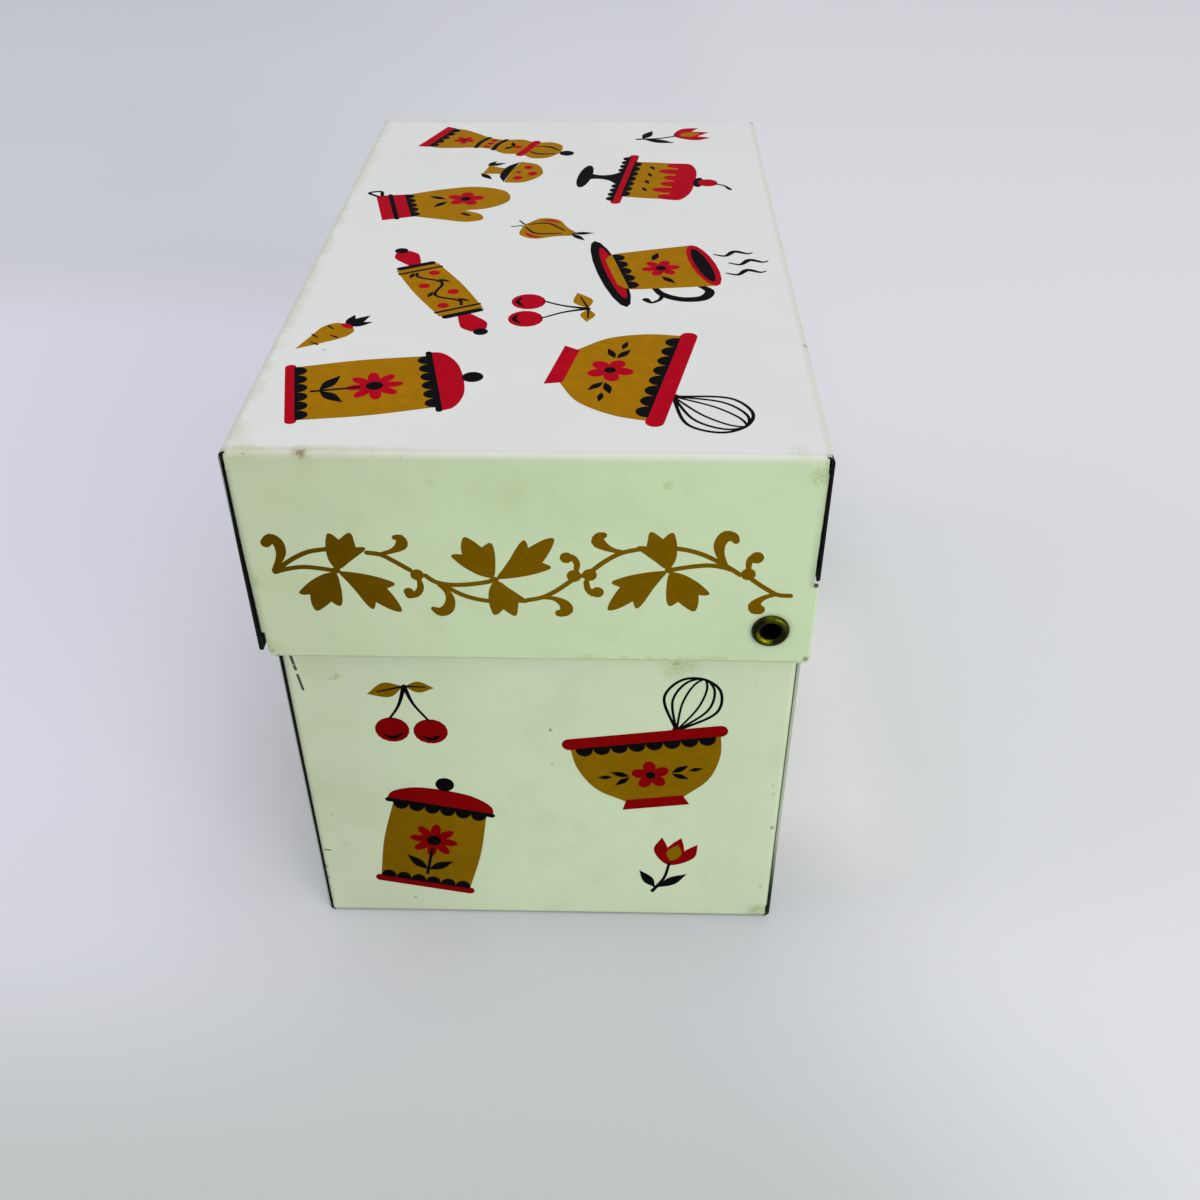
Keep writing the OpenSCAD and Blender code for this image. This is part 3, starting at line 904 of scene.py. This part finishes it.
def mushroom():
    d = Drawing()
    d.add("mustard", turned([(2.9, -6.4), (1.9, -3.4), (2.1, -0.6)]))
    cap = outline([(-6.6, -0.4), (-5.6, 3.4), (0, 6.0), (5.6, 3.4)], [(6.6, -0.4), (0, -0.9)])
    d.add("mustard", cap, over=1)
    d.add("black", outline([(-6.4, -0.6), (0, -0.9)],
                           [(6.4, -0.6), (3.4, -2.3), (0, -2.7), (-3.4, -2.3)]))
    for x, y, r in ((-3.4, 2.0, 1.1), (0.2, 3.9, 1.2), (3.4, 1.6, 1.2), (0, 0.9, 0.7)):
        d.add("red", oval(x, y, r, 0.85 * r), over=1)
    d.add("black", leaf(-2.4, -6.8, 4.4, 128), leaf(-2.6, -6.8, 3.4, 160), leaf(2.4, -6.8, 4.6, 48))
    return d


def carrot():
    d = Drawing()
    d.add("mustard", outline([(0.2, -8.4), (2.0, -3.6), (3.2, 1.0), (2.4, 3.6), (0, 4.2),
                              (-2.4, 3.6), (-3.2, 1.0), (-1.6, -3.6)]))
    for x, y, side in ((-1.4, 1.6, 1), (1.2, -0.4, -1), (-0.9, -2.6, 1), (0.7, -4.6, -1)):
        d.add("black", *stroke((x - 1.1 * side, y, 0.5), (x + 0.6 * side, y - 0.2, 0.25)))
    for turn, length in ((62, 5.0), (92, 6.0), (122, 5.0)):
        d.add("black", leaf(0, 3.8, length, turn, 0.36))
    d.add("red", oval(0, 3.9, 1.5, 0.7), over=1)
    return d


def tulip():
    d = Drawing()
    d.add("red", outline([(-3.2, 6.4), (-3.6, 3.0), (0, 0), (3.6, 3.0)], [(3.2, 6.4), (2.2, 5.2)],
                         [(1.5, 4.2), (0.9, 5.6)], [(0, 7.2), (-0.9, 5.6)],
                         [(-1.5, 4.2), (-2.2, 5.2)]))
    d.add("mustard", outline([(0, 5.4), (1.3, 3.2), (0, 1.2), (-1.3, 3.2)]), over=1)
    d.add("black", *stroke((0, 0.4, 0.5), (0.3, -3.4, 0.55), (-0.6, -7.4, 0.7)))
    d.add("black", leaf(0, -6.2, 6.2, 52, 0.32), leaf(-0.4, -6.4, 5.4, 138, 0.34))
    return d


def onion():
    d = Drawing()
    d.add("mustard", turned([(0.6, -5.0), (4.4, -3.6), (5.0, -0.4), (2.4, 2.6), (0.8, 5.2)]))
    for side in (-1, 1):
        d.add("black", *stroke((side * 0.7, -4.4, 0.3), (side * 2.6, -1.4, 0.5),
                               (side * 0.6, 3.0, 0.3)))
        d.add("black", *stroke((side * 0.4, -5.2, 0.4), (side * 1.6, -6.8, 0.3)))
        d.add("black", leaf(0, 4.6, 4.2, 90 - side * 28, 0.3))
    d.add("red", *stroke((-3.8, 0.2, 0.4), (-4.1, -1.4, 0.8), (-3.2, -3.0, 0.4)))
    d.add("red", *stroke((3.8, 0.2, 0.4), (4.1, -1.4, 0.8), (3.2, -3.0, 0.4)))
    return d


# The vine on the lid: places on its right side, from the box's middle and the table, in mm.
# On the front and back it is drawn twice, mirrored about the middle, and higher on the short back.
VINE_LINE = 72.5
VINE_LINE_BACK = 81.6
VINE_APART = 33
VINE_FIT = 0.9
VINE_STEM = 0.72
INK_SPREAD = 0.2
LEAF_UP = outline([(0, 0.1), (-0.7, 1.4), (-0.95, 3.2), (-0.7, 5.2), (-0.35, 6.05), (0.15, 5.95)],
                  [(1.0, 5.05), (1.9, 5.85), (2.5, 6.2), (2.85, 5.9), (3.0, 4.9)],
                  [(3.15, 3.85), (3.7, 3.9), (4.3, 3.85), (4.35, 3.5), (3.4, 2.6), (1.8, 1.25),
                   (0.8, 0.35)])
LEAF_SIDE = outline([(-0.2, -0.2), (-1.9, -0.7), (-3.9, -2.0), (-5.1, -3.2), (-5.6, -3.9),
                     (-5.2, -4.2)],
                    [(-4.1, -4.15), (-4.15, -5.4), (-3.85, -6.75), (-3.5, -7.0), (-2.5, -6.4)],
                    [(-1.35, -5.35), (-0.6, -6.0), (-0.2, -6.1), (0.1, -5.75), (0.3, -4.5),
                     (0.3, -2.5), (0.1, -0.8)])
LEAF_LONG = outline([(0.5, -0.1), (2.3, -0.3), (4.7, -0.8), (6.5, -1.4), (7.65, -2.0),
                     (7.7, -2.35)],
                    [(6.6, -2.95), (7.4, -4.3), (8.2, -6.2), (8.25, -6.9), (7.8, -7.0),
                     (6.6, -6.55)],
                    [(4.8, -5.35), (4.6, -6.2), (4.3, -6.6), (3.9, -6.35), (3.2, -5.3),
                     (2.2, -3.4), (1.1, -1.6), (0.4, -0.5)])


def vine():
    """One scroll, round its own line; the ink runs wider than the curls' widths by INK_SPREAD."""
    d = Drawing()
    for x, y, across, upright in ((-26.2, 73.2, 1, 1), (-4.9, 71.9, 1, -1), (18.7, 73.85, -1, 1)):
        for blade in (LEAF_UP, LEAF_SIDE, LEAF_LONG):
            d.add("mustard", [Vector((x + across * p.x, y + upright * p.y, 0)) for p in blade])
        d.add("mustard", oval(x, y, 0.62, 0.55))
    stems = [
        [(-34.5, 72.8), (-32.3, 74.7), (-29.6, 76.2), (-27.1, 76.7)],
        [(-34.5, 72.8), (-33.0, 73.3), (-30.7, 73.7), (-28.3, 73.5), (-26.2, 73.1)],
        [(-21.7, 76.2), (-19.9, 75.9), (-18.3, 74.9), (-16.2, 73.4)],
        [(-14.2, 72.5), (-13.0, 71.5), (-11.0, 71.0), (-8.3, 71.1), (-5.6, 71.6), (-4.8, 71.9)],
        [(-11.6, 70.7), (-9.4, 69.3), (-7.5, 68.6), (-5.5, 68.2)],
        [(-0.5, 68.5), (1.5, 69.0), (3.5, 70.2), (5.3, 71.7), (6.4, 72.6), (8.0, 72.9)],
        [(8.0, 73.3), (10.1, 75.2), (12.1, 76.5), (14.6, 77.2), (15.7, 77.3)],
        [(19.6, 77.4), (21.2, 77.1), (23.2, 76.4), (25.2, 75.3), (27.0, 74.1), (28.2, 73.2)],
        [(18.9, 73.9), (20.3, 74.2), (21.9, 74.5), (24.1, 74.7), (25.9, 74.4), (27.3, 73.9)],
        [(29.9, 72.4), (31.7, 71.0), (33.5, 69.9), (35.25, 69.75)],
    ]
    for stem in stems:
        d.add("mustard", *stroke(*stem, width=VINE_STEM))
    curls = [
        [(-35.0, 77.6, 1.25), (-34.3, 78.35, 1.35), (-33.45, 77.75, 1.35), (-33.2, 76.2, 1.2),
         (-33.7, 74.7, 0.8), (-34.6, 73.1, 0.45)],
        [(-19.9, 76.0, 0.35), (-18.1, 76.6, 0.65), (-16.9, 77.6, 1.5), (-17.1, 78.6, 1.1),
         (-17.7, 78.7, 0.6)],
        [(-15.1, 71.7, 0.5), (-15.0, 70.5, 0.75), (-15.6, 69.4, 0.85), (-16.6, 69.2, 1.1)],
        [(-12.5, 71.0, 0.35), (-11.5, 69.9, 0.6), (-11.1, 68.4, 1.1), (-11.6, 66.8, 1.5),
         (-12.6, 66.3, 1.35), (-13.5, 66.8, 0.6)],
        [(1.5, 69.0, 0.4), (3.2, 68.8, 0.57), (4.5, 67.9, 1.3), (4.8, 66.9, 1.7), (4.2, 66.35, 1.2),
         (3.8, 66.3, 1.0)],
        [(6.2, 73.5, 0.5), (6.3, 74.8, 0.7), (5.7, 75.75, 0.8), (4.9, 75.75, 0.95)],
        [(7.55, 71.7, 0.6), (7.75, 70.5, 0.7), (8.4, 69.75, 0.8), (9.05, 70.0, 0.95)],
        [(12.6, 76.7, 0.4), (11.2, 77.0, 0.57), (10.0, 77.6, 1.1), (9.15, 78.4, 1.7),
         (9.4, 79.2, 1.3), (9.85, 79.4, 0.8)],
        [(26.2, 74.8, 0.4), (25.35, 76.5, 1.0), (25.2, 78.2, 1.4), (26.0, 79.5, 1.5),
         (27.0, 79.25, 1.25), (27.3, 78.75, 0.8)],
        [(29.25, 74.4, 0.55), (29.3, 75.4, 0.75), (29.7, 76.1, 0.85), (30.25, 76.1, 0.95)],
        [(33.2, 69.9, 0.35), (31.9, 69.5, 0.57), (31.0, 68.8, 0.9), (30.5, 68.0, 1.6),
         (30.75, 67.45, 1.8), (31.2, 67.3, 1.4)],
    ]
    for curl in curls:
        d.add("mustard", *stroke(*((x, y, INK_SPREAD + width) for x, y, width in curl)))
    for x, y, r in ((-15.3, 72.6, 0.93), (-16.7, 69.7, 0.7), (5.9, 72.7, 1.0), (4.9, 75.7, 0.88),
                    (8.0, 72.9, 1.0), (9.05, 70.0, 0.88), (29.3, 73.3, 1.0), (30.25, 76.05, 0.95)):
        d.add("mustard", oval(x, y, r))
    for key, outlines in d.outlines.items():
        d.outlines[key] = moved(outlines, 0, -VINE_LINE)
    return d


def make_prints():
    """Each stamp is a drawing, its place on the face across and up, its turn, size and flip."""
    side_inks = {name: ink(f"ink_{name}", colour) for name, colour in INKS.items()}
    # The top's inks are lighter copies of the side inks, as painted light
    lit_top_inks = {name: ink(f"ink_{name}_top", colour, 0) for name, colour in LIT_TOP_INKS.items()}
    vine_inks = {**side_inks, "mustard": ink("ink_vine", VINE_INK, 0.42)}
    bowl, mill, cup, tin, pin, cake, mitt = (draw() for draw in (
        mixing_bowl, pepper_mill, mug, canister, rolling_pin, cake_stand, oven_mitt))
    cherry, cap, root, bloom, bulb, spray = (draw() for draw in (
        cherries, mushroom, carrot, tulip, onion, vine))
    body_y = (BODY_LOW.y + BODY_HIGH.y) / 2
    right_end, left_end = (Vector((corner.x, body_y, 0)) for corner in (BODY_HIGH, BODY_LOW))
    print_face("print_top", "lid", lit_top_inks, Vector((0, 0, LID_HIGH.z)), Vector((1, 0, 0)), [
        (bowl, 46, 15, -12, 1.1, 1), (cup, 9, 20, 12, 1.08, 1), (cake, -32, 18, -8, 1.1, 1),
        (tin, 50, -21, 12, 1.0, 1), (pin, 18, -17, -62, 1.02, 1), (mitt, -20, -19, 14, 1.08, 1),
        (mill, -52, -13, -20, 1.12, 1), (cherry, 25, 1, 10, 0.95, 1), (cap, -36, -9, -12, 0.9, 1),
        (bloom, -58, 22, 20, 1.05, 1), (root, 34, -31, 50, 0.8, 1), (bulb, -7, -1, -24, 0.95, 1)])
    print_face("print_right_end", "box", side_inks, right_end, Vector((0, 1, 0)), [
        (bowl, 16, 38, 8, 0.98, 1), (tin, -18, 19, -12, 0.98, 1), (cherry, -20, 46, 8, 0.9, 1),
        (bloom, 20, 13, -16, 0.95, 1)])
    print_face("print_left_end", "box", side_inks, left_end, Vector((0, -1, 0)), [
        (cake, -15, 38, 6, 0.98, 1), (mill, 18, 21, -14, 0.98, 1), (root, 21, 47, 30, 0.9, 1),
        (bulb, -20, 12, 12, 0.95, 1)])
    print_face("print_front", "box", side_inks, Vector((0, BODY_LOW.y, 0)), Vector((1, 0, 0)), [
        (cup, -50, 38, -8, 0.98, 1), (pin, -25, 19, 68, 0.9, 1), (tin, 5, 37, 8, 0.98, 1),
        (cake, 32, 19, -6, 0.95, 1), (mitt, 54, 38, 10, 0.95, 1), (root, -52, 12, 30, 0.85, 1),
        (cherry, -23, 46, -8, 0.9, 1), (bloom, 5, 12, 14, 0.9, 1), (cap, 30, 47, -10, 0.85, 1),
        (bulb, 57, 12, -12, 0.9, 1)])
    print_face("print_back", "box", side_inks, Vector((0, BODY_HIGH.y, 0)), Vector((-1, 0, 0)), [
        (bowl, -48, 46, 8, 0.98, 1), (mill, -50, 17, -14, 0.9, 1), (mitt, -16, 20, 12, 0.95, 1),
        (cap, -20, 52, 10, 0.9, 1), (cup, 13, 49, -6, 0.98, 1), (bulb, 12, 18, 16, 0.9, 1),
        (tin, 50, 46, 10, 0.98, 1), (pin, 40, 17, -70, 0.88, 1), (cherry, -30, 8, 6, 0.7, 1)])
    for name, x, right, flip in (("right", LID_HIGH.x, 1, 1), ("left", LID_LOW.x, -1, -1)):
        print_face(f"vine_{name}", "lid", vine_inks, Vector((x, 0, 0)), Vector((0, right, 0)),
                   [(spray, 0, VINE_LINE, 0, 1.0, flip)])
    for name, y, right, line in (("front", LID_LOW.y, 1, VINE_LINE),
                                 ("back", LID_HIGH.y, -1, VINE_LINE_BACK)):
        print_face(f"vine_{name}", "lid", vine_inks, Vector((0, y, 0)), Vector((right, 0, 0)),
                   [(spray, side * VINE_APART, line, 0, VINE_FIT, side) for side in (-1, 1)])


def make_floor():
    reach = FLOOR_REACH * MM
    corners = [(-reach, -reach, 0), (reach, -reach, 0), (reach, reach, 0), (-reach, reach, 0)]
    mesh = bpy.data.meshes.new("floor")
    mesh.from_pydata(corners, [], [(0, 1, 2, 3)])
    mesh.materials.append(floor_cover())
    floor = bpy.data.objects.new("floor", mesh)
    bpy.context.scene.collection.objects.link(floor)


make_camera()
make_lights()
make_floor()
dress_cad()
make_prints()
